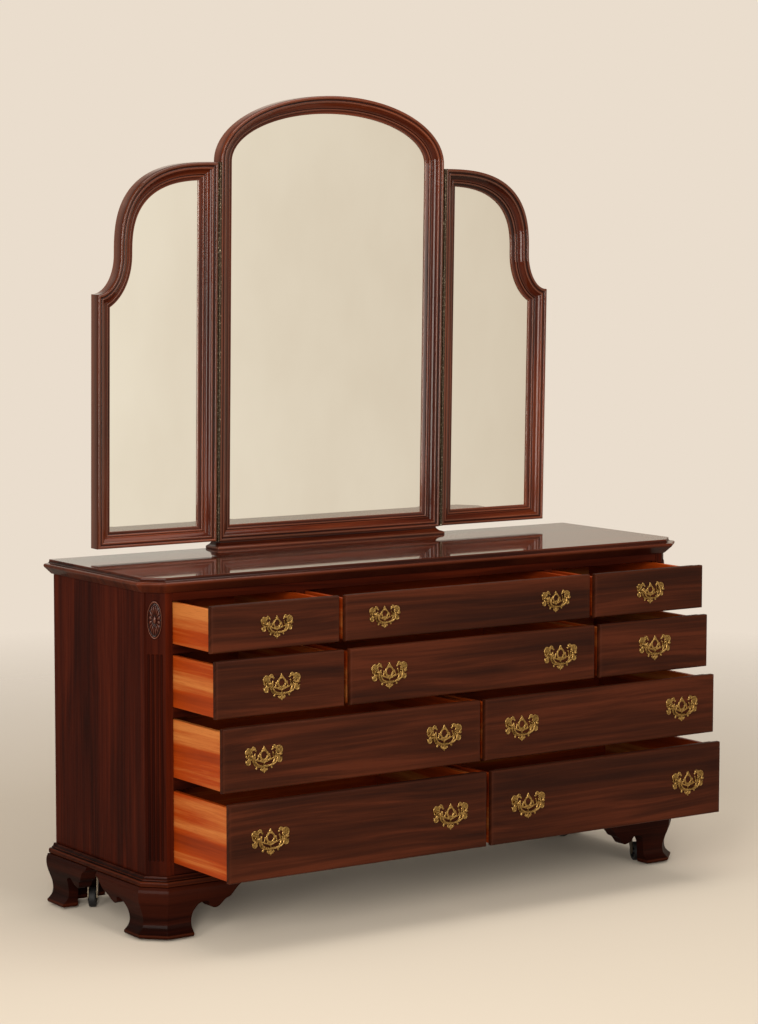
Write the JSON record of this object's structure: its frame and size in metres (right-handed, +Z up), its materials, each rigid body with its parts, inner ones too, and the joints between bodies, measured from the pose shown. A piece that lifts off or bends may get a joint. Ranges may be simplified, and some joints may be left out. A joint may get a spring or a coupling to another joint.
{
  "type": "dresser with mirror",
  "caption": "Triple dresser of wide and small drawers on ogee bracket feet with a folding three-part arched mirror standing on its top.",
  "frame": {"origin": "centre of the bottom of the bounding box, on the floor, with the drawers open as stored", "axes": "+Z up; the front of the dresser faces -Y and its drawers open towards -Y; +X is to the right when looking at the front"},
  "size_m": [1.654, 0.783, 2.0342],
  "materials": {
    "lacquered_cherry": "dark reddish-brown glossy lacquer over straight grain",
    "clear_finished_maple": "orange-brown satin finish",
    "plain_plywood": "unfinished",
    "aged_brass": "cast, aged, lacquered",
    "silvered_glass": "polished",
    "black_steel": "semi-gloss black",
    "black_rubber": "moulded"
  },
  "bodies": {
    "cabinet": {"back_panel": "plain_plywood", "base_frame": "lacquered_cherry", "drawer_frame": "lacquered_cherry", "foot_back_left": "lacquered_cherry", "foot_back_right": "lacquered_cherry", "foot_front_left": "lacquered_cherry", "foot_front_right": "lacquered_cherry", "mirror_frame": "lacquered_cherry", "mirror_glass": "silvered_glass", "side_left": "lacquered_cherry", "side_right": "lacquered_cherry", "top_board": "lacquered_cherry"},
    "drawer_r1_left": {"drawer_front_r1_left": "lacquered_cherry", "drawer_box_r1_left": "clear_finished_maple"},
    "bail_r1_left": {"bail_r1_left": "aged_brass"},
    "drawer_r1_middle": {"drawer_front_r1_middle": "lacquered_cherry", "drawer_box_r1_middle": "clear_finished_maple"},
    "bail_r1_middle_a": {"bail_r1_middle_a": "aged_brass"},
    "bail_r1_middle_b": {"bail_r1_middle_b": "aged_brass"},
    "drawer_r1_right": {"drawer_front_r1_right": "lacquered_cherry", "drawer_box_r1_right": "clear_finished_maple"},
    "bail_r1_right": {"bail_r1_right": "aged_brass"},
    "drawer_r2_left": {"drawer_front_r2_left": "lacquered_cherry", "drawer_box_r2_left": "clear_finished_maple"},
    "bail_r2_left": {"bail_r2_left": "aged_brass"},
    "drawer_r2_middle": {"drawer_front_r2_middle": "lacquered_cherry", "drawer_box_r2_middle": "clear_finished_maple"},
    "bail_r2_middle_a": {"bail_r2_middle_a": "aged_brass"},
    "bail_r2_middle_b": {"bail_r2_middle_b": "aged_brass"},
    "drawer_r2_right": {"drawer_front_r2_right": "lacquered_cherry", "drawer_box_r2_right": "clear_finished_maple"},
    "bail_r2_right": {"bail_r2_right": "aged_brass"},
    "drawer_r3_left": {"drawer_front_r3_left": "lacquered_cherry", "drawer_box_r3_left": "clear_finished_maple"},
    "bail_r3_left_a": {"bail_r3_left_a": "aged_brass"},
    "bail_r3_left_b": {"bail_r3_left_b": "aged_brass"},
    "drawer_r3_right": {"drawer_front_r3_right": "lacquered_cherry", "drawer_box_r3_right": "clear_finished_maple"},
    "bail_r3_right_a": {"bail_r3_right_a": "aged_brass"},
    "bail_r3_right_b": {"bail_r3_right_b": "aged_brass"},
    "drawer_r4_left": {"drawer_front_r4_left": "lacquered_cherry", "drawer_box_r4_left": "clear_finished_maple"},
    "bail_r4_left_a": {"bail_r4_left_a": "aged_brass"},
    "bail_r4_left_b": {"bail_r4_left_b": "aged_brass"},
    "drawer_r4_right": {"drawer_front_r4_right": "lacquered_cherry", "drawer_box_r4_right": "clear_finished_maple"},
    "bail_r4_right_a": {"bail_r4_right_a": "aged_brass"},
    "bail_r4_right_b": {"bail_r4_right_b": "aged_brass"},
    "wing_left": {"wing_frame_left": "lacquered_cherry", "wing_glass_left": "silvered_glass"},
    "wing_right": {"wing_frame_right": "lacquered_cherry", "wing_glass_right": "silvered_glass"},
    "caster_front_left": {"caster_fork_front_left": "black_steel"},
    "wheel_front_left": {"caster_wheel_front_left": "black_rubber"},
    "caster_front_right": {"caster_fork_front_right": "black_steel"},
    "wheel_front_right": {"caster_wheel_front_right": "black_rubber"},
    "caster_back_left": {"caster_fork_back_left": "black_steel"},
    "wheel_back_left": {"caster_wheel_back_left": "black_rubber"},
    "caster_back_right": {"caster_fork_back_right": "black_steel"},
    "wheel_back_right": {"caster_wheel_back_right": "black_rubber"}
  },
  "joints": [
    {"name": "slide_r1_left", "type": "slide", "parent": "cabinet", "child": "drawer_r1_left", "axis": [0, -1, 0], "range_m": [-0.1638, 0.1759]},
    {"name": "swing_r1_left", "type": "hinge", "parent": "drawer_r1_left", "child": "bail_r1_left", "pos_m": [-0.5681, -0.3106, 0.7712], "axis": [-1, 0, 0], "range_deg": [-8, 85]},
    {"name": "slide_r1_middle", "type": "slide", "parent": "cabinet", "child": "drawer_r1_middle", "axis": [0, -1, 0], "range_m": [-0.1638, 0.1759]},
    {"name": "swing_r1_middle_a", "type": "hinge", "parent": "drawer_r1_middle", "child": "bail_r1_middle_a", "pos_m": [-0.26091, -0.3106, 0.7712], "axis": [-1, 0, 0], "range_deg": [-8, 85]},
    {"name": "swing_r1_middle_b", "type": "hinge", "parent": "drawer_r1_middle", "child": "bail_r1_middle_b", "pos_m": [0.26091, -0.3106, 0.7712], "axis": [-1, 0, 0], "range_deg": [-8, 85]},
    {"name": "slide_r1_right", "type": "slide", "parent": "cabinet", "child": "drawer_r1_right", "axis": [0, -1, 0], "range_m": [-0.1638, 0.1759]},
    {"name": "swing_r1_right", "type": "hinge", "parent": "drawer_r1_right", "child": "bail_r1_right", "pos_m": [0.5681, -0.3106, 0.7712], "axis": [-1, 0, 0], "range_deg": [-8, 85]},
    {"name": "slide_r2_left", "type": "slide", "parent": "cabinet", "child": "drawer_r2_left", "axis": [0, -1, 0], "range_m": [-0.1845, 0.1552]},
    {"name": "swing_r2_left", "type": "hinge", "parent": "drawer_r2_left", "child": "bail_r2_left", "pos_m": [-0.5681, -0.3313, 0.63345], "axis": [-1, 0, 0], "range_deg": [-8, 85]},
    {"name": "slide_r2_middle", "type": "slide", "parent": "cabinet", "child": "drawer_r2_middle", "axis": [0, -1, 0], "range_m": [-0.1845, 0.1552]},
    {"name": "swing_r2_middle_a", "type": "hinge", "parent": "drawer_r2_middle", "child": "bail_r2_middle_a", "pos_m": [-0.26091, -0.3313, 0.63345], "axis": [-1, 0, 0], "range_deg": [-8, 85]},
    {"name": "swing_r2_middle_b", "type": "hinge", "parent": "drawer_r2_middle", "child": "bail_r2_middle_b", "pos_m": [0.26091, -0.3313, 0.63345], "axis": [-1, 0, 0], "range_deg": [-8, 85]},
    {"name": "slide_r2_right", "type": "slide", "parent": "cabinet", "child": "drawer_r2_right", "axis": [0, -1, 0], "range_m": [-0.1845, 0.1552]},
    {"name": "swing_r2_right", "type": "hinge", "parent": "drawer_r2_right", "child": "bail_r2_right", "pos_m": [0.5681, -0.3313, 0.63345], "axis": [-1, 0, 0], "range_deg": [-8, 85]},
    {"name": "slide_r3_left", "type": "slide", "parent": "cabinet", "child": "drawer_r3_left", "axis": [0, -1, 0], "range_m": [-0.2136, 0.1261]},
    {"name": "swing_r3_left_a", "type": "hinge", "parent": "drawer_r3_left", "child": "bail_r3_left_a", "pos_m": [-0.63591, -0.3604, 0.4721], "axis": [-1, 0, 0], "range_deg": [-8, 85]},
    {"name": "swing_r3_left_b", "type": "hinge", "parent": "drawer_r3_left", "child": "bail_r3_left_b", "pos_m": [-0.11849, -0.3604, 0.4721], "axis": [-1, 0, 0], "range_deg": [-8, 85]},
    {"name": "slide_r3_right", "type": "slide", "parent": "cabinet", "child": "drawer_r3_right", "axis": [0, -1, 0], "range_m": [-0.2136, 0.1261]},
    {"name": "swing_r3_right_a", "type": "hinge", "parent": "drawer_r3_right", "child": "bail_r3_right_a", "pos_m": [0.11849, -0.3604, 0.4721], "axis": [-1, 0, 0], "range_deg": [-8, 85]},
    {"name": "swing_r3_right_b", "type": "hinge", "parent": "drawer_r3_right", "child": "bail_r3_right_b", "pos_m": [0.63591, -0.3604, 0.4721], "axis": [-1, 0, 0], "range_deg": [-8, 85]},
    {"name": "slide_r4_left", "type": "slide", "parent": "cabinet", "child": "drawer_r4_left", "axis": [0, -1, 0], "range_m": [-0.2412, 0.0985]},
    {"name": "swing_r4_left_a", "type": "hinge", "parent": "drawer_r4_left", "child": "bail_r4_left_a", "pos_m": [-0.63591, -0.388, 0.2821], "axis": [-1, 0, 0], "range_deg": [-8, 85]},
    {"name": "swing_r4_left_b", "type": "hinge", "parent": "drawer_r4_left", "child": "bail_r4_left_b", "pos_m": [-0.11849, -0.388, 0.2821], "axis": [-1, 0, 0], "range_deg": [-8, 85]},
    {"name": "slide_r4_right", "type": "slide", "parent": "cabinet", "child": "drawer_r4_right", "axis": [0, -1, 0], "range_m": [-0.2412, 0.0985]},
    {"name": "swing_r4_right_a", "type": "hinge", "parent": "drawer_r4_right", "child": "bail_r4_right_a", "pos_m": [0.11849, -0.388, 0.2821], "axis": [-1, 0, 0], "range_deg": [-8, 85]},
    {"name": "swing_r4_right_b", "type": "hinge", "parent": "drawer_r4_right", "child": "bail_r4_right_b", "pos_m": [0.63591, -0.388, 0.2821], "axis": [-1, 0, 0], "range_deg": [-8, 85]},
    {"name": "wing_fold_left", "type": "hinge", "parent": "cabinet", "child": "wing_left", "pos_m": [-0.3508, 0.3192, 0.8923], "axis": [0, -0.0183, 0.9998], "range_deg": [0, 165]},
    {"name": "wing_fold_right", "type": "hinge", "parent": "cabinet", "child": "wing_right", "pos_m": [0.3508, 0.3192, 0.8923], "axis": [0, 0.0183, -0.9998], "range_deg": [0, 165]},
    {"name": "swivel_front_left", "type": "hinge", "parent": "cabinet", "child": "caster_front_left", "pos_m": [-0.7325, -0.0428, 0], "axis": [0, 0, 1], "continuous": true},
    {"name": "roll_front_left", "type": "hinge", "parent": "caster_front_left", "child": "wheel_front_left", "pos_m": [-0.71988, -0.06082, 0.026], "axis": [-0.8192, -0.5736, 0], "continuous": true},
    {"name": "swivel_front_right", "type": "hinge", "parent": "cabinet", "child": "caster_front_right", "pos_m": [0.7325, -0.0428, 0], "axis": [0, 0, 1], "continuous": true},
    {"name": "roll_front_right", "type": "hinge", "parent": "caster_front_right", "child": "wheel_front_right", "pos_m": [0.72498, -0.06347, 0.026], "axis": [-0.9397, 0.342, 0], "continuous": true},
    {"name": "swivel_back_left", "type": "hinge", "parent": "cabinet", "child": "caster_back_left", "pos_m": [-0.7325, 0.3002, 0], "axis": [0, 0, 1], "continuous": true},
    {"name": "roll_back_left", "type": "hinge", "parent": "caster_back_left", "child": "wheel_back_left", "pos_m": [-0.74496, 0.28207, 0.026], "axis": [-0.8241, 0.5664, 0], "continuous": true},
    {"name": "swivel_back_right", "type": "hinge", "parent": "cabinet", "child": "caster_back_right", "pos_m": [0.7325, 0.3002, 0], "axis": [0, 0, 1], "continuous": true},
    {"name": "roll_back_right", "type": "hinge", "parent": "caster_back_right", "child": "wheel_back_right", "pos_m": [0.75155, 0.2892, 0.026], "axis": [-0.5, -0.866, 0], "continuous": true}
  ]
}
